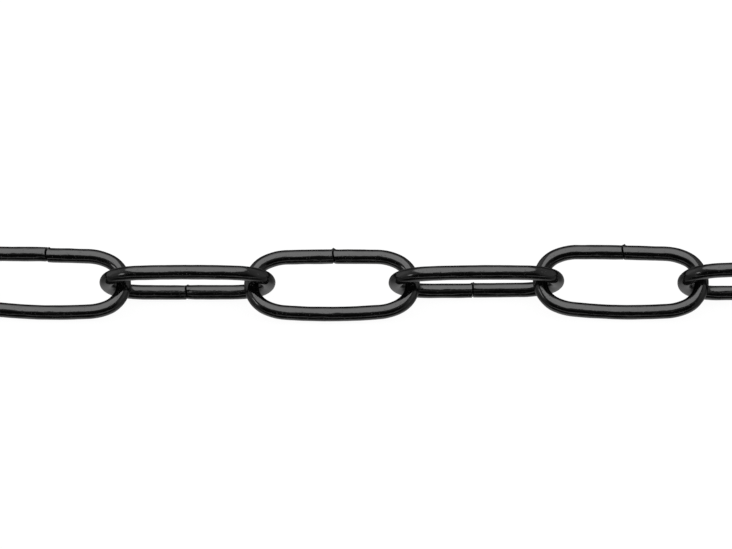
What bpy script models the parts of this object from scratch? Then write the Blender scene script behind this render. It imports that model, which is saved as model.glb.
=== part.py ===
"""One metre of straight long-link chain in black lacquered round steel wire.

Every link is one bent wire whose two ends butt together, unwelded, in the middle of one limb.
The links are threaded through each other, pulled out along X, and lie on the floor, each one
leaning on its lower limb and the leans taking turns to either side.
Units are metres, +Z is up, and the origin is the middle of the chain's footprint.
"""
import math

import bpy
from mathutils import Vector

# Driving dimensions
LINK_COUNT = 34                      # one metre of chain
WIRE = 0.0030                        # wire across its flats
LINK_LENGTH = 0.0357                 # outside, crown to crown
CROWN_RADIUS = 0.00545               # bend of the wire's centre line at each end
CROWN_REACH = math.radians(65.0)     # how far that bend runs to each side of the link's long axis
SHOULDER_RADIUS = 0.0105             # wider bend that eases the crown into the limb
SEAM_LIMB_OUT = 0.0060               # middle of the jointed limb from the link's long axis
PLAIN_LIMB_OUT = 0.0063              # middle of the other limb, which bows out a little more
LINK_PLAY = 0.00042                  # free space between one crown and the next when pulled straight
SEAM_GAP = 0.00015                   # open line between the wire's two ends

# How the links lie
END_LEAN = math.radians(45.0)        # the links at both ends lie on a flat of the wire
STEADY_ENDS = 2                      # how many links at each end lie so, straight along X
ODD_LEAN = math.radians(43.5)        # the others lean so that their middles lie level
EVEN_LEAN = math.radians(46.5)
LEAN_WANDER = math.radians(1.0)
STRAY_WANDER = math.radians(0.6)     # how far a link may point off the chain's line
SEAM_WANDER = 0.0008                 # how far a seam may sit from the middle of its limb
WANDER_STEP = 2.4                    # radians from one link to the next, so that no pattern shows

# Links whose lie is given: lean and stray in degrees, and the seam's place along its limb
OWN_LIES = {
    14: (46.5, 1.5, -0.0008),
    15: (41.0, -3.0, 0.0004),
    16: (50.5, 0.0, -0.0003),
    17: (40.0, 0.6, 0.0004),
    18: (48.4, 1.1, -0.0006),
    19: (48.2, -2.2, 0.0004),
    20: (54.0, 2.0, 0.0),
    21: (46.5, 1.0, 0.0),
}

# How finely the bends are drawn
SIDES = 8
CROWN_STEPS = 7                      # odd, so that a flat lies square across each crown
SHOULDER_STEPS = 2
LIMB_STEPS = 3                       # odd, so that a flat lies under each limb's middle

PITCH = LINK_LENGTH - 2 * WIRE - LINK_PLAY
HALF_SIDE = math.pi / SIDES
SECTION_RADIUS = WIRE / 2 / math.cos(HALF_SIDE)


def remove_everything():
    for found in list(bpy.data.objects):
        bpy.data.objects.remove(found, do_unlink=True)


def black_lacquer():
    material = bpy.data.materials.new("black_lacquered_steel")
    material.use_nodes = True
    shader = material.node_tree.nodes["Principled BSDF"]
    shader.inputs["Base Color"].default_value = (0.008, 0.008, 0.009, 1.0)
    shader.inputs["Metallic"].default_value = 0.0
    shader.inputs["Roughness"].default_value = 0.18
    return material


def spoke(angle):
    return Vector((math.cos(angle), math.sin(angle)))


def arc_flats(out):
    """Straight flats that touch the crown, shoulder and limb arcs, as direction and distance.

    The three arcs run smoothly into each other. Directions start at the link's long axis.
    """
    crown = Vector(((LINK_LENGTH - WIRE) / 2 - CROWN_RADIUS, 0.0))
    shoulder = crown - (SHOULDER_RADIUS - CROWN_RADIUS) * spoke(CROWN_REACH)
    rise = out - SHOULDER_RADIUS
    depth = (shoulder.length_squared - rise ** 2) / (2 * (rise - shoulder.y))
    shoulder_reach = math.atan2(shoulder.y + depth, shoulder.x)
    flats = []
    for centre, radius, start, end, steps in (
            (crown, CROWN_RADIUS, -CROWN_REACH, CROWN_REACH, CROWN_STEPS),
            (shoulder, SHOULDER_RADIUS, CROWN_REACH, shoulder_reach, SHOULDER_STEPS),
            (Vector((0.0, -depth)), out + depth, shoulder_reach, math.pi - shoulder_reach, LIMB_STEPS)):
        for number in range(steps):
            angle = start + (end - start) * (number + 0.5) / steps
            flats.append((angle, centre.dot(spoke(angle)) + radius))
    return flats


def quarter_corners(out):
    """Where neighbouring flats meet, from the crown to the limb's middle, each with its mitre."""
    corners = []
    flats = arc_flats(out)
    for (first, near), (second, far) in zip(flats, flats[1:]):
        turn = second - first
        corner = Vector((near * math.sin(second) - far * math.sin(first),
                         far * math.cos(first) - near * math.cos(second))) / math.sin(turn)
        if corner.x > 0 and corner.y > 0:
            corners.append((corner, 1 / math.cos(turn / 2)))
    return corners


def mirrored(corners, along, up):
    return [(Vector((corner.x * along, corner.y * up)), mitre) for corner, mitre in corners]


def link_outline(seam):
    """Centre line of one wire, from one side of its seam round to the other side."""
    seam_quarter = quarter_corners(SEAM_LIMB_OUT)
    plain_quarter = quarter_corners(PLAIN_LIMB_OUT)
    first_end = (Vector((seam + SEAM_GAP / 2, SEAM_LIMB_OUT)), 1.0)
    last_end = (Vector((seam - SEAM_GAP / 2, SEAM_LIMB_OUT)), 1.0)
    return ([first_end] + seam_quarter[::-1] + mirrored(plain_quarter, 1, -1)
            + mirrored(plain_quarter, -1, -1)[::-1] + mirrored(seam_quarter, -1, 1) + [last_end])


def wander(number):
    return math.sin(WANDER_STEP * number)


def lie_of(number):
    """How a link lies: its lean from flat, its stray from the chain's line, and its seam's place."""
    if number in OWN_LIES:
        lean, stray, seam = OWN_LIES[number]
        return math.radians(lean), math.radians(stray), seam
    seam = SEAM_WANDER * wander(number + 1)
    if min(number, LINK_COUNT + 1 - number) <= STEADY_ENDS:
        return END_LEAN, 0.0, seam
    lean = EVEN_LEAN if number % 2 == 0 else ODD_LEAN
    return lean + LEAN_WANDER * wander(number), STRAY_WANDER * wander(number + 2), seam


def link_places():
    """Each link's centre, its turn about X from lying flat, and its stray about Z."""
    places = {}
    edges = []
    hook = Vector((0.0, 0.0, 0.0))
    for number in range(1, LINK_COUNT + 1):
        lean, stray, seam = lie_of(number)
        leans_back = number % 2 == 1
        lower_limb = PLAIN_LIMB_OUT if leans_back else SEAM_LIMB_OUT
        off_flat = abs(lean - 2 * HALF_SIDE)
        height = lower_limb * math.sin(lean) + SECTION_RADIUS * math.cos(HALF_SIDE - off_flat)
        turn = lean if leans_back else -lean
        step = PITCH / 2 * Vector((math.cos(stray), math.sin(stray), 0.0))
        places[number] = hook + step + Vector((0.0, 0.0, height)), turn, stray
        edges += [hook.y + step.y + corner.x * math.sin(stray) + corner.y * math.cos(turn) * math.cos(stray)
                  for corner, mitre in link_outline(seam)]    # how far the wire reaches across
        hook += 2 * step
    middle = Vector((hook.x, min(edges) + max(edges), 0.0)) / 2
    return {number: (centre - middle, turn, stray) for number, (centre, turn, stray) in places.items()}


def make_link(number, place, material, collection):
    """One bent wire, its eight flats square to the link's plane and true along its length."""
    curve = bpy.data.curves.new(f"link_{number:02d}", "CURVE")
    curve.dimensions = "3D"
    curve.twist_mode = "Z_UP"
    curve.bevel_depth = SECTION_RADIUS
    curve.bevel_resolution = SIDES // 2 - 2
    curve.use_fill_caps = True
    lean, stray, seam = lie_of(number)
    corners = link_outline(seam)
    spline = curve.splines.new("POLY")
    spline.points.add(len(corners) - 1)
    for point, (corner, mitre) in zip(spline.points, corners):
        point.co = (corner.x, corner.y, 0.0, 1.0)
        point.radius = mitre
        point.tilt = HALF_SIDE
    curve.materials.append(material)
    link = bpy.data.objects.new(f"link_{number:02d}", curve)
    link.location, turn, stray = place
    link.rotation_euler = (turn, 0.0, stray)
    collection.objects.link(link)


def main():
    remove_everything()
    chain = bpy.data.collections.new("long_link_chain")
    bpy.context.scene.collection.children.link(chain)
    material = black_lacquer()
    for number, place in link_places().items():
        make_link(number, place, material, chain)


main()
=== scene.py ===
import math

import bpy
from mathutils import Matrix, Vector


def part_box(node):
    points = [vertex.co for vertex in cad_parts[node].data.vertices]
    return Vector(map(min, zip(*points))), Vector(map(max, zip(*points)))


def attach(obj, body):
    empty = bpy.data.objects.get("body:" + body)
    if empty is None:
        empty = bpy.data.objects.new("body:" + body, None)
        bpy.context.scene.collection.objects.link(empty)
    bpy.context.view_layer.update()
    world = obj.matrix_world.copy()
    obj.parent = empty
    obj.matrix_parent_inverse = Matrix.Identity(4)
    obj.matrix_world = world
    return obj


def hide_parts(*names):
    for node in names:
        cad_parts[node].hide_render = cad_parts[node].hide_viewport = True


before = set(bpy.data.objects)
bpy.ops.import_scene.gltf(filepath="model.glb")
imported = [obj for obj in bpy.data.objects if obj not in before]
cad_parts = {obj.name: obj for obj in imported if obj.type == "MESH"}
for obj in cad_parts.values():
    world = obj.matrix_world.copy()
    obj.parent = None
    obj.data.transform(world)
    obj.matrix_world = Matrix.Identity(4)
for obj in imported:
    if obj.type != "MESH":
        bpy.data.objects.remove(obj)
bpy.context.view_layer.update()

print("chain loaded:", len(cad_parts), "links")


# small helpers for node trees

def addNode(tree, kind, **settings):
    node = tree.nodes.new(kind)
    for name, value in settings.items():
        setattr(node, name, value)
    return node


def feed(tree, node, **sources):
    # a source is either another node's output socket or a plain value
    for name, source in sources.items():
        socket = node.inputs[int(name[2:])] if name.startswith("in") else node.inputs[name]
        if isinstance(source, bpy.types.NodeSocket):
            tree.links.new(source, socket)
        else:
            socket.default_value = source
    return node


def calc(tree, operation, *values, kind="ShaderNodeMath"):
    # one Math node, its values given in order
    node = addNode(tree, kind, operation=operation)
    for number, value in enumerate(values):
        feed(tree, node, **{f"in{number}": value})
    return node.outputs[0]


def calcVector(tree, operation, *values):
    return calc(tree, operation, *values, kind="ShaderNodeVectorMath")


def moveAlong(tree, direction, distance):
    move = addNode(tree, "ShaderNodeVectorMath", operation="SCALE")
    return feed(tree, move, in0=direction, Scale=distance).outputs[0]


# black lacquer

lacquer = {
    "colour": 0.0010,          # a neutral black
    "ior": 1.5,
    "roughness": (0.05, 0.12),     # glossy, a little uneven
    "dullSize": 0.0012,        # across the wire, of the duller patches
    "dullDrawn": 0.3,          # drawn out along the wire, the more so the lower this is
    "dullLevels": (0.3, 0.7),  # where in the noise they begin and are full
    "streakColour": 0.006,     # fine pale lines along the wire
    "streakSize": 0.00034,
    "streakDrawn": 0.05,
    "streakLevels": (0.54, 0.72),
    "streakDepth": 0.000012,
    "grainSize": 0.00050,      # orange peel in the film
    "grainDrawn": 0.5,
    "grainDepth": 0.000016,
    "fleckColour": 0.035,      # dust caught in the film, small craters and nibs
    "fleckSize": 0.00020,
    "fleckDrawn": 0.7,
    "fleckLevels": (0.70, 0.78),
    "fleckDepth": 0.000022,
}


def lacquerFilm():
    look = lacquer
    material = bpy.data.materials.new("blackLacquer")
    material.use_nodes = True
    tree = material.node_tree
    shader = tree.nodes["Principled BSDF"]
    onWire = addNode(tree, "ShaderNodeAttribute", attribute_name="wirePlace").outputs["Vector"]

    def spots(kind, detail):
        # noise whose spots are drawn out along the wire
        drawnOut = calcVector(tree, "MULTIPLY", onWire, (look[kind + "Drawn"], 1.0, 1.0))
        noise = addNode(tree, "ShaderNodeTexNoise")
        feed(tree, noise, Vector=drawnOut, Scale=1 / look[kind + "Size"], Detail=detail)
        return noise.outputs["Fac"]

    def between(value, levels, first=0.0, last=1.0):
        span = addNode(tree, "ShaderNodeMapRange")
        feed(tree, span, Value=value, **{"From Min": levels[0], "From Max": levels[1],
                                         "To Min": first, "To Max": last})
        return span.outputs[0]

    def grey(level):
        return (level, level, level, 1.0)

    def blended(share, before, after):
        # a Mix node's colours are its inputs 6 and 7 and its output 2
        mix = addNode(tree, "ShaderNodeMix", data_type="RGBA")
        return feed(tree, mix, Factor=share, in6=before, in7=after).outputs[2]

    streaks = spots("streak", 2.0)
    flecks = between(spots("fleck", 1.0), look["fleckLevels"])
    tone = blended(between(streaks, look["streakLevels"]),
                   grey(look["colour"]), grey(look["streakColour"]))
    tone = blended(flecks, tone, grey(look["fleckColour"]))
    dull = between(spots("dull", 2.0), look["dullLevels"], *look["roughness"])

    # orange peel, streaks and flecks, each bump on top of the last
    bump = None
    for height, depth in ((spots("grain", 1.0), look["grainDepth"]),
                          (streaks, look["streakDepth"]),
                          (flecks, look["fleckDepth"])):
        under = {"Normal": bump.outputs["Normal"]} if bump else {}
        bump = addNode(tree, "ShaderNodeBump")
        feed(tree, bump, Height=height, Strength=1.0, Distance=depth, **under)
    feed(tree, shader, Roughness=dull, IOR=look["ior"], Normal=bump.outputs["Normal"],
         **{"Base Color": tone})
    return material


# the path of one link's wire

linkShape = {
    "wire": 0.0030,            # across the lacquered wire
    "length": 0.0357,          # outside, crown to crown
    "crownBend": 0.00545,      # bend of the wire's centre line round each crown
    "crownReach": 65.0,        # degrees that it runs to each side of the link's long axis
    "shoulderBend": 0.0105,    # wider bend that eases the crown into the limb
    "seamLimbOut": 0.0060,     # middle of the jointed limb from the link's long axis
    "plainLimbOut": 0.0063,    # the other limb bows out a little more
    "seamGap": 0.00002,        # the cores of the two ends all but touch
    "grooveDepth": 0.00045,    # but cropping has bevelled both, so a dark groove shows
    "grooveSlope": 68.0,       # degrees
    "grooveLip": 0.00006,      # its rims are rounded by lacquer
    "wallRings": 3,            # rings down the groove's wall
    "lipRings": 6,             # and round its rim
    "firstStep": 0.00006,      # spacing of the rings beside the seam
    "stepGrowth": 1.15,        # from one ring to the next
    "ringStep": 0.00030,       # spacing of the rings on the rest of the wire
}


def quarterArcs(out):
    # limb, shoulder and crown: centre, radius, and the angles between which each one runs
    shape = linkShape
    reach = math.radians(shape["crownReach"])
    crown = Vector(((shape["length"] - shape["wire"]) / 2 - shape["crownBend"], 0.0))
    widening = shape["shoulderBend"] - shape["crownBend"]
    shoulder = crown - widening * Vector((math.cos(reach), math.sin(reach)))
    rise = out - shape["shoulderBend"]
    depth = (shoulder.length_squared - rise ** 2) / (2 * (rise - shoulder.y))
    limbReach = math.atan2(shoulder.y + depth, shoulder.x)
    return [(Vector((0.0, -depth)), out + depth, math.pi / 2, limbReach),
            (shoulder, shape["shoulderBend"], limbReach, reach),
            (crown, shape["crownBend"], reach, 0.0)]


def wireStretches(seam):
    # every arc from one side of the seam round to the other, with the quarter of the link that it is in
    jointed = quarterArcs(linkShape["seamLimbOut"])
    plain = quarterArcs(linkShape["plainLimbOut"])
    stretches = []
    for arcs, quarter in ((jointed, (1, 1)), (plain, (1, -1)), (plain, (-1, -1)), (jointed, (-1, 1))):
        if quarter[0] == quarter[1]:       # from the limb to the crown
            stretches += [[quarter, *arc] for arc in arcs]
        else:                              # and back to the limb
            stretches += [[quarter, centre, radius, last, first]
                          for centre, radius, first, last in arcs[::-1]]
    limbRadius = jointed[0][1]
    stretches[0][3] -= (seam + linkShape["seamGap"] / 2) / limbRadius
    stretches[-1][4] += (seam - linkShape["seamGap"] / 2) / limbRadius
    return stretches


def alongWire(stretches, distance):
    # the point of the centre line that is this far from the seam
    for quarter, centre, radius, first, last in stretches:
        length = abs(last - first) * radius
        if distance <= length:
            break
        distance -= length
    else:
        distance = length
    angle = first + (last - first) * distance / length
    x = quarter[0] * (centre.x + radius * math.cos(angle))
    y = quarter[1] * (centre.y + radius * math.sin(angle))
    return x, y, 0.0


def wireRings(total):
    # where the rings stand along the wire, and how thick it is there as a share of its full thickness
    shape = linkShape
    slope = math.radians(shape["grooveSlope"])
    lip = shape["grooveLip"]
    wallTop = lip * (1 - math.cos(slope))
    wallRise = shape["grooveDepth"] - wallTop
    wallRun = wallRise / math.tan(slope)
    rings = []                 # distance from the seam, and how far the wire is sunk there
    for step in range(shape["wallRings"]):
        share = step / shape["wallRings"]
        rings.append((wallRun * share, shape["grooveDepth"] - wallRise * share))
    for step in range(shape["lipRings"]):
        angle = slope * (1 - step / (shape["lipRings"] - 1))
        rings.append((wallRun + lip * (math.sin(slope) - math.sin(angle)), lip * (1 - math.cos(angle))))
    place = rings[-1][0]
    stride = shape["firstStep"]
    while place + stride < total / 2:
        place += stride
        rings.append((place, 0.0))
        stride = min(stride * shape["stepGrowth"], shape["ringStep"])
    rings = [(place, 1 - sunk / (shape["wire"] / 2)) for place, sunk in rings]
    return rings + [(total - place, share) for place, share in reversed(rings)]


def wirePath(name, seam):
    stretches = wireStretches(seam)
    total = sum(abs(last - first) * radius for *where, radius, first, last in stretches)
    rings = wireRings(total)
    curve = bpy.data.curves.new(name, "CURVE")
    curve.dimensions = "3D"
    curve.twist_mode = "Z_UP"
    spline = curve.splines.new("POLY")
    spline.points.add(len(rings) - 1)
    for point, (place, share) in zip(spline.points, rings):
        point.co = (*alongWire(stretches, place), 1.0)
        point.radius = share
    path = bpy.data.objects.new(name, curve)
    bpy.context.scene.collection.objects.link(path)
    return path


# the tree that gives the path its wire

wireFinish = {
    "Sides": 40,
    "Wave Height": 0.00013,    # slow unevenness of the drawn and bent wire
    "Wave Length": 0.0030,
    "Wave Drawn": 0.6,         # drawn out along the wire, the more so the lower this is
    "Wave Top": 0.53,          # noise above this is cut off, so that some of the wire stays true
    "Ripple Height": 0.00010,  # and a finer one
    "Ripple Length": 0.0011,
    "Ripple Drawn": 0.35,
    "Ripple Top": 0.55,
    "Top Rounding": 0.05,      # how softly the tops are cut off
    "Seam Dents": 0.00015,     # more of both beside the seam
    "Seam Dent Reach": 0.0016,
    "Groove Fill": 0.75,       # the crop bit from two sides, and left the groove shallow between them
    "Groove Turn": -8.0,       # where it is shallow, in degrees from the top of the wire towards its front
    "Sway Height": 0.00016,    # the line between the two ends wanders to and fro
    "Sway Count": 2.0,
    "Sway Turn": 0.0,
    "Sway Reach": 0.0007,
    "End Step": 0.00006,       # the left end stands this much higher than the right one
    "Step Share": 0.5,         # how much of that the right end makes up by standing lower
    "End Step Reach": 0.0050,
    "Burr Height": 0.00024,    # lip left by the cropping
    "Burr Reach": 0.00026,
    "Burr Turn": 4.0,          # degrees, as the groove's
    "Burr Sharpness": 18.0,    # the higher, the narrower round the wire
    "Burr Offset": 0.00008,    # to the right of the seam
    "Nick Depth": 0.00020,     # notch in both rims
    "Nick Reach": 0.00022,
    "Nick Turn": 165.0,
    "Nick Sharpness": 30.0,
}

# how one link follows another
linkOrder = {
    "topTurn": 59.0,           # degrees from the chain's side to the top of a wire, as the picture has it
    "seedStep": 0.21,          # no two links have the same unevenness
    "swayStep": 137.5,         # nor the same line between their ends, in degrees
    "crownSlice": 0.0002,      # corners this near to a link's end show where its crown is
    "limbSlice": 0.002,        # and those this near to its middle where its seam is
}

# how the line runs on the links that are seen closest
ownSeams = {
    "link_15": {"Sway Turn": 120.0, "Sway Height": 0.00021, "Burr Offset": 0.00024,
                "Burr Height": 0.00024, "End Step": 0.00016},
    "link_16": {"Sway Turn": 156.0, "Sway Height": 0.00018, "Burr Height": 0.00020,
                "Nick Depth": 0.00010, "End Step": -0.00004},
    "link_17": {"Sway Turn": 152.0, "Sway Height": 0.00021, "Burr Height": 0.00038,
                "Nick Turn": 170.0, "Nick Depth": 0.00045, "End Step": 0.0},
    "link_18": {"Sway Height": 0.00003, "Burr Height": 0.00034, "Burr Offset": 0.00002,
                "Nick Turn": 150.0, "End Step": -0.00004, "Groove Fill": 0.5},
    "link_19": {"Sway Turn": 160.0, "Sway Height": 0.00024, "Burr Height": 0.00034,
                "Burr Offset": 0.00006, "Nick Turn": 150.0, "Nick Depth": 0.00010, "End Step": 0.0},
}


def keepMeasures(tree, source, **measures):
    # so that each measure can still be read once the wire is swept
    keep = addNode(tree, "GeometryNodeCaptureAttribute", domain="POINT")
    for name, measure in measures.items():
        keep.capture_items.new("VECTOR" if measure.type == "VECTOR" else "FLOAT", name)
    return feed(tree, keep, Geometry=source, **measures).outputs


def sweepWire(tree, given):
    # the section swept along the path, with what each point keeps of both
    spot = addNode(tree, "GeometryNodeSplineParameter").outputs
    thickness = addNode(tree, "GeometryNodeInputRadius").outputs[0]
    path = keepMeasures(tree, given["Geometry"], along=spot["Length"],
                        total=addNode(tree, "GeometryNodeSplineLength").outputs["Length"],
                        thickness=thickness,
                        forward=addNode(tree, "GeometryNodeInputTangent").outputs["Tangent"])
    section = addNode(tree, "GeometryNodeCurvePrimitiveCircle", mode="RADIUS")
    feed(tree, section, Resolution=given["Sides"], Radius=given["Wire Radius"])
    ring = keepMeasures(tree, section.outputs["Curve"], around=spot["Factor"])
    sweep = addNode(tree, "GeometryNodeCurveToMesh")
    feed(tree, sweep, Curve=path["Geometry"], Scale=thickness,
         **{"Profile Curve": ring["Geometry"], "Fill Caps": True})
    return sweep.outputs["Mesh"], path, ring["around"]


def wireTree():
    tree = bpy.data.node_groups.new("bentWire", "GeometryNodeTree")
    tree.is_modifier = True
    tree.interface.new_socket("Geometry", in_out="INPUT", socket_type="NodeSocketGeometry")
    tree.interface.new_socket("Geometry", in_out="OUTPUT", socket_type="NodeSocketGeometry")
    kinds = {"Sides": "Int", "Finish": "Material"}
    for name in ("Wire Radius", "Limb Out", "Top Turn", "Seed", "Finish", *wireFinish):
        tree.interface.new_socket(name, in_out="INPUT", socket_type="NodeSocket" + kinds.get(name, "Float"))
    given = addNode(tree, "NodeGroupInput").outputs
    wire, path, around = sweepWire(tree, given)
    along = path["along"]
    forward = path["forward"]

    # where each point lies on the wire, in metres along it and round it
    angle = calc(tree, "MULTIPLY", around, 2 * math.pi)
    onWire = addNode(tree, "ShaderNodeCombineXYZ")
    feed(tree, onWire, X=calc(tree, "ADD", along, given["Seed"]),
         Y=calc(tree, "MULTIPLY", calc(tree, "COSINE", angle), given["Wire Radius"]),
         Z=calc(tree, "MULTIPLY", calc(tree, "SINE", angle), given["Wire Radius"]))

    # how far from the seam, and on which side of it
    toOtherEnd = calc(tree, "SUBTRACT", path["total"], along)
    toEnd = calc(tree, "MINIMUM", along, toOtherEnd)
    onLeft = calc(tree, "GREATER_THAN", along, toOtherEnd)
    fromSeam = calc(tree, "SUBTRACT", along, calc(tree, "MULTIPLY", onLeft, path["total"]))

    # the angle round the jointed limb, from the top of the wire as it lies towards its front
    place = feed(tree, addNode(tree, "ShaderNodeSeparateXYZ"),
                 in0=addNode(tree, "GeometryNodeInputPosition").outputs[0]).outputs
    outward = calc(tree, "SUBTRACT", place["Y"], given["Limb Out"])
    fromTop = calc(tree, "SUBTRACT", calc(tree, "ARCTAN2", place["Z"], outward), given["Top Turn"])

    def fading(distance, reach):
        # 1 where the distance is none, dying away over the reach
        share = calc(tree, "DIVIDE", distance, reach)
        return calc(tree, "EXPONENT", calc(tree, "MULTIPLY", calc(tree, "MULTIPLY", share, share), -1.0))

    def towards(mark):
        # 1 on the side of the wire where the mark is, 0 beside it, -1 opposite
        return calc(tree, "COSINE", calc(tree, "SUBTRACT", fromTop, calc(tree, "RADIANS", given[mark])))

    def facing(kind):
        # only the side where the mark is, falling off round it
        near = calc(tree, "MAXIMUM", towards(kind + " Turn"), 0.0)
        return calc(tree, "POWER", near, given[kind + " Sharpness"])

    def unevenness(kind):
        # noise from below nothing up to nothing, so that the wire never grows
        drawnOut = feed(tree, addNode(tree, "ShaderNodeCombineXYZ"), X=given[kind + " Drawn"], Y=1.0, Z=1.0)
        noise = addNode(tree, "ShaderNodeTexNoise")
        feed(tree, noise, Vector=calcVector(tree, "MULTIPLY", onWire.outputs[0], drawnOut.outputs[0]),
             Scale=calc(tree, "DIVIDE", 1.0, given[kind + " Length"]), Detail=1.0)
        low = calc(tree, "SUBTRACT", noise.outputs["Fac"], given[kind + " Top"])
        return calc(tree, "SMOOTH_MIN", low, 0.0, given["Top Rounding"])

    # waves and ripples, both deeper beside the seam
    nearSeam = calc(tree, "MULTIPLY", given["Seam Dents"], fading(toEnd, given["Seam Dent Reach"]))
    rise = 0.0
    for kind in ("Wave", "Ripple"):
        depth = calc(tree, "ADD", given[kind + " Height"], nearSeam)
        rise = calc(tree, "ADD", rise, calc(tree, "MULTIPLY", unevenness(kind), depth))

    # a lip at the seam, a nick in both ends, and a groove that is shallow in places
    offBurr = calc(tree, "SUBTRACT", fromSeam, given["Burr Offset"])
    burr = calc(tree, "MULTIPLY", facing("Burr"), fading(offBurr, given["Burr Reach"]))
    nick = calc(tree, "MULTIPLY", facing("Nick"), fading(toEnd, given["Nick Reach"]))
    rise = calc(tree, "ADD", rise, calc(tree, "SUBTRACT",
                                        calc(tree, "MULTIPLY", given["Burr Height"], burr),
                                        calc(tree, "MULTIPLY", given["Nick Depth"], nick)))
    shallow = towards("Groove Turn")
    filled = calc(tree, "MULTIPLY", given["Groove Fill"], calc(tree, "MULTIPLY", shallow, shallow))
    sunk = calc(tree, "MULTIPLY", given["Wire Radius"], calc(tree, "SUBTRACT", 1.0, path["thickness"]))
    rise = calc(tree, "ADD", rise, calc(tree, "MULTIPLY", sunk, filled))

    # all of that goes straight out from the middle of the wire
    normal = addNode(tree, "GeometryNodeInputNormal").outputs["Normal"]
    sideways = calcVector(tree, "CROSS_PRODUCT", forward, normal)
    outOfWire = calcVector(tree, "NORMALIZE", calcVector(tree, "CROSS_PRODUCT", sideways, forward))

    # both ends slide along the wire together, so the line sways but stays even
    wave = calc(tree, "SINE", calc(tree, "ADD", calc(tree, "MULTIPLY", fromTop, given["Sway Count"]),
                                   calc(tree, "RADIANS", given["Sway Turn"])))
    slide = calc(tree, "MULTIPLY", calc(tree, "MULTIPLY", wave, given["Sway Height"]),
                 fading(toEnd, given["Sway Reach"]))

    # and one end stands a little higher than the other
    upward = feed(tree, addNode(tree, "ShaderNodeCombineXYZ"), Y=calc(tree, "COSINE", given["Top Turn"]),
                  Z=calc(tree, "SINE", given["Top Turn"])).outputs[0]
    ownStep = calc(tree, "MULTIPLY", given["End Step"], calc(tree, "SUBTRACT", onLeft, given["Step Share"]))
    lift = calc(tree, "MULTIPLY", ownStep, fading(toEnd, given["End Step Reach"]))
    move = calcVector(tree, "ADD", moveAlong(tree, outOfWire, rise), moveAlong(tree, forward, slide))
    move = calcVector(tree, "ADD", move, moveAlong(tree, upward, lift))

    shaped = feed(tree, addNode(tree, "GeometryNodeSetPosition"), Geometry=wire, Offset=move)
    named = addNode(tree, "GeometryNodeStoreNamedAttribute", data_type="FLOAT_VECTOR", domain="POINT")
    feed(tree, named, Geometry=shaped.outputs[0], Name="wirePlace", Value=onWire.outputs[0])
    smooth = feed(tree, addNode(tree, "GeometryNodeSetShadeSmooth"), Geometry=named.outputs[0])
    realized = feed(tree, addNode(tree, "GeometryNodeRealizeInstances"), Geometry=smooth.outputs[0])
    finished = addNode(tree, "GeometryNodeSetMaterial")
    feed(tree, finished, Geometry=realized.outputs[0], Material=given["Finish"])
    feed(tree, addNode(tree, "NodeGroupOutput"), Geometry=finished.outputs[0])
    return tree


# one link after another

def middleOf(corners):
    return Vector([(min(places) + max(places)) / 2 for places in zip(*corners)])


def linkStand(node):
    # where a link lies, read from the frame, and where along its jointed limb the seam is
    lowest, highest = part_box(node)
    near = linkOrder["crownSlice"]
    corners = [corner.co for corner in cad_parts[node].data.vertices]
    left = middleOf([corner for corner in corners if corner.x < lowest.x + near])
    right = middleOf([corner for corner in corners if corner.x > highest.x - near])
    centre = (left + right) / 2
    along = (right - left).normalized()
    # only the jointed limb has corners there, at the wire's two ends
    wireEnds = middleOf([corner for corner in corners
                         if abs((corner - centre).dot(along)) < linkOrder["limbSlice"]]) - centre
    seam = wireEnds.dot(along)
    away = (wireEnds - seam * along).normalized()
    place = Matrix((along, away, along.cross(away))).transposed().to_4x4()
    place.translation = centre
    return place, seam


def makeLink(node, number, tree, finish):
    place, seam = linkStand(node)
    path = wirePath("path_" + node, seam)
    values = dict(wireFinish)
    values["Wire Radius"] = linkShape["wire"] / 2
    values["Limb Out"] = linkShape["seamLimbOut"]
    values["Top Turn"] = math.radians(linkOrder["topTurn"]) - math.atan2(place[2][1], place[1][1])
    values["Seed"] = linkOrder["seedStep"] * number
    values["Sway Turn"] = linkOrder["swayStep"] * number % 360
    values["Burr Offset"] *= (-1) ** number      # to the right and to the left in turn
    values.update(ownSeams.get(node, {}))
    if place[2][1] < 0:        # the jointed limb lies on the floor, so neither end may stand lower
        values["Step Share"] = 0.0 if values["End Step"] > 0 else 1.0
    values["Finish"] = finish
    modifier = path.modifiers.new("bentWire", "NODES")
    modifier.node_group = tree
    for socket in tree.interface.items_tree:
        if socket.in_out == "INPUT" and socket.name in values:
            modifier[socket.identifier] = values[socket.name]
    dressed = path.evaluated_get(bpy.context.evaluated_depsgraph_get())
    mesh = bpy.data.meshes.new_from_object(dressed)
    bpy.data.objects.remove(path)
    mesh.transform(place)
    mesh.name = "wire_" + node
    link = bpy.data.objects.new("wire_" + node, mesh)
    bpy.context.scene.collection.objects.link(link)
    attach(link, node)
    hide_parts(node)


# floor, light and camera

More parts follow.
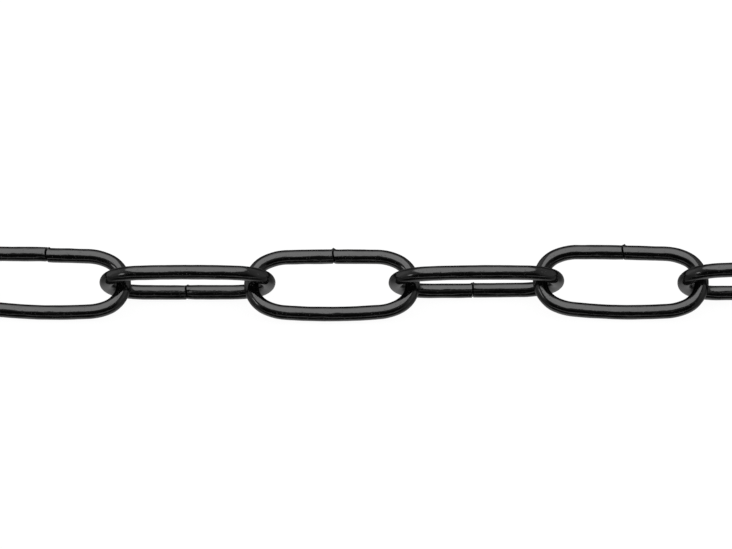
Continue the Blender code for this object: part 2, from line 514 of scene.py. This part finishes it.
studio = {
    "floorSize": 80.0,
    "floorColour": (0.08, 0.08, 0.08),   # what the floor throws back of the room's light
    "floorGlow": 0.95,         # and what it gives itself, as a lit white table does
    "floorRoughness": 0.9,
    "room": 1.0,               # even light from all sides
    "boxLight": 3.6,           # the big round soft box overhead, as the lacquer mirrors it
    "boxHeight": (89.0, 47.0),     # its middle and half its spread, in degrees from the front horizon
    "boxAcross": (-0.04, 0.49),    # the same, as a share of the view sideways
    "boxRim": (0.92, 1.06),
    "sidesFrom": (0.45, 0.85), # where the room's sides begin and are reached, sideways
    "sideLight": 5.0,          # a small box to the left, which leaves a fleck on each left crown
    "sideLightHeight": (15.0, 22.0, 34.0, 42.0),       # edge, full, full, edge
    "sideLightAcross": (-0.77, -0.73, -0.65, -0.60),
    # brightness round the chain, by angle in degrees from the front horizon over the top to the rear one
    "boxLevels": ((100.0, 1.0), (112.0, 0.80), (122.0, 0.42), (134.0, 0.12), (144.0, 0.0)),
    "roomLevels": ((-160.0, 0.12), (-125.0, 0.42), (-92.0, 0.80), (-78.0, 0.80), (-62.0, 0.12),
                   (-56.0, 0.02), (-30.0, 0.02), (-27.5, 1.10), (-22.0, 1.10), (-19.5, 0.02),
                   (20.0, 0.02), (34.0, 0.24), (122.0, 0.60), (147.0, 0.06), (175.0, 0.10)),
    "leftLevels": ((-135.0, 0.22), (-100.0, 0.42), (-75.0, 0.30), (-45.0, 0.20), (0.0, 0.32),
                   (22.0, 0.55), (60.0, 0.55), (90.0, 0.85), (120.0, 0.85), (150.0, 0.60)),
    "rightLevels": ((-135.0, 0.18), (-90.0, 0.25), (-70.0, 0.42), (-40.0, 0.25), (-15.0, 0.36),
                    (20.0, 0.54), (60.0, 0.57), (100.0, 0.58), (150.0, 0.34)),
}


def layFloor():
    half = studio["floorSize"] / 2
    mesh = bpy.data.meshes.new("paleFloor")
    corners = [(-half, -half, 0.0), (half, -half, 0.0), (half, half, 0.0), (-half, half, 0.0)]
    mesh.from_pydata(corners, [], [(0, 1, 2, 3)])
    material = bpy.data.materials.new("paleFloor")
    material.use_nodes = True
    shader = material.node_tree.nodes["Principled BSDF"]
    feed(material.node_tree, shader, Roughness=studio["floorRoughness"],
         **{"Base Color": (*studio["floorColour"], 1.0), "Specular IOR Level": 0.0,
            "Emission Color": (1.0, 1.0, 1.0, 1.0), "Emission Strength": studio["floorGlow"]})
    mesh.materials.append(material)
    floor = bpy.data.objects.new("paleFloor", mesh)
    bpy.context.scene.collection.objects.link(floor)
    floor.visible_glossy = False   # the lacquer mirrors the dark room, not the floor


def lightRoom():
    world = bpy.data.worlds.new("softStudio")
    bpy.context.scene.world = world
    world.use_nodes = True
    tree = world.node_tree
    background = tree.nodes["Background"]
    background.inputs["Color"].default_value = (1.0, 1.0, 1.0, 1.0)
    way = addNode(tree, "ShaderNodeSeparateXYZ")
    tree.links.new(addNode(tree, "ShaderNodeTexCoord").outputs["Generated"], way.inputs[0])
    height = calc(tree, "ARCTAN2", way.outputs["Z"], calc(tree, "MULTIPLY", way.outputs["Y"], -1.0))
    turn = calc(tree, "ADD", calc(tree, "DIVIDE", height, 2 * math.pi), 0.5)
    across = way.outputs["X"]

    def byAngle(name):
        levels = studio[name]
        ramp = addNode(tree, "ShaderNodeValToRGB")
        tree.links.new(turn, ramp.inputs["Fac"])
        elements = ramp.color_ramp.elements
        while len(elements) < len(levels):
            elements.new(0.5)
        for element, (angle, level) in zip(elements, levels):
            element.position = angle / 360 + 0.5
            element.color = (level, level, level, 1.0)
        return ramp.outputs["Color"]

    def rising(value, low, high):
        share = addNode(tree, "ShaderNodeMapRange", interpolation_type="SMOOTHSTEP")
        feed(tree, share, Value=value, **{"From Min": low, "From Max": high})
        return share.outputs[0]

    def inside(value, limits):
        # 0 outside the first and last limit, 1 between the two in the middle
        return calc(tree, "MULTIPLY", rising(value, *limits[:2]),
                    calc(tree, "SUBTRACT", 1.0, rising(value, *limits[2:])))

    def mixed(share, before, after):
        # its share is input 0, and its plain numbers are inputs 2 and 3 and output 0
        mix = addNode(tree, "ShaderNodeMix", data_type="FLOAT")
        feed(tree, mix, in0=share, in2=before, in3=after)
        return mix.outputs[0]

    # the room, its sides, the round box and the small one
    degrees = calc(tree, "DEGREES", height)
    sides = mixed(calc(tree, "GREATER_THAN", across, 0.0), byAngle("leftLevels"), byAngle("rightLevels"))
    toSide = rising(calc(tree, "ABSOLUTE", across), *studio["sidesFrom"])
    level = mixed(toSide, byAngle("roomLevels"), sides)
    offBox = []
    for value, (middle, spread) in ((degrees, studio["boxHeight"]), (across, studio["boxAcross"])):
        off = calc(tree, "DIVIDE", calc(tree, "SUBTRACT", value, middle), spread)
        offBox.append(calc(tree, "MULTIPLY", off, off))
    fromBox = calc(tree, "SQRT", calc(tree, "ADD", *offBox))
    boxShare = calc(tree, "MULTIPLY", byAngle("boxLevels"),
                    calc(tree, "SUBTRACT", 1.0, rising(fromBox, *studio["boxRim"])))
    level = mixed(boxShare, level, studio["boxLight"])
    sideShare = calc(tree, "MULTIPLY", inside(degrees, studio["sideLightHeight"]),
                     inside(across, studio["sideLightAcross"]))
    level = mixed(sideShare, level, studio["sideLight"])

    seen = addNode(tree, "ShaderNodeLightPath")
    strength = mixed(seen.outputs["Is Glossy Ray"], studio["room"], level)
    tree.links.new(strength, background.inputs["Strength"])
    bpy.context.scene.view_settings.view_transform = "Standard"


camera = {
    "elevation": 31.0,         # degrees above the floor
    "distance": 1.6,
    "width": 0.1484,           # what the picture spans at the chain
    "aim": (0.006895, 0.002060),   # across and up the picture from one link's middle to the picture's
    "clip": (0.01, 200.0),
}


def placeCamera(node):
    place = linkStand(node)[0]
    tilt = math.radians(camera["elevation"])
    back = Vector((0.0, -math.cos(tilt), math.sin(tilt)))
    up = Vector((0.0, math.sin(tilt), math.cos(tilt)))
    across, rise = camera["aim"]
    aim = place.translation + across * Vector((1.0, 0.0, 0.0)) + rise * up
    lens = bpy.data.cameras.new("camera")
    lens.lens = lens.sensor_width * camera["distance"] / camera["width"]
    lens.clip_start, lens.clip_end = camera["clip"]
    eye = bpy.data.objects.new("camera", lens)
    eye.location = aim + back * camera["distance"]
    eye.rotation_mode = "QUATERNION"
    eye.rotation_quaternion = (-back).to_track_quat("-Z", "Y")
    bpy.context.scene.collection.objects.link(eye)
    bpy.context.scene.camera = eye


finish = lacquerFilm()
tree = wireTree()
for number, node in enumerate(sorted(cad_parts), start=1):
    makeLink(node, number, tree, finish)
print("links made:", number)
layFloor()
lightRoom()
placeCamera("link_17")
print("floor, light and camera set")
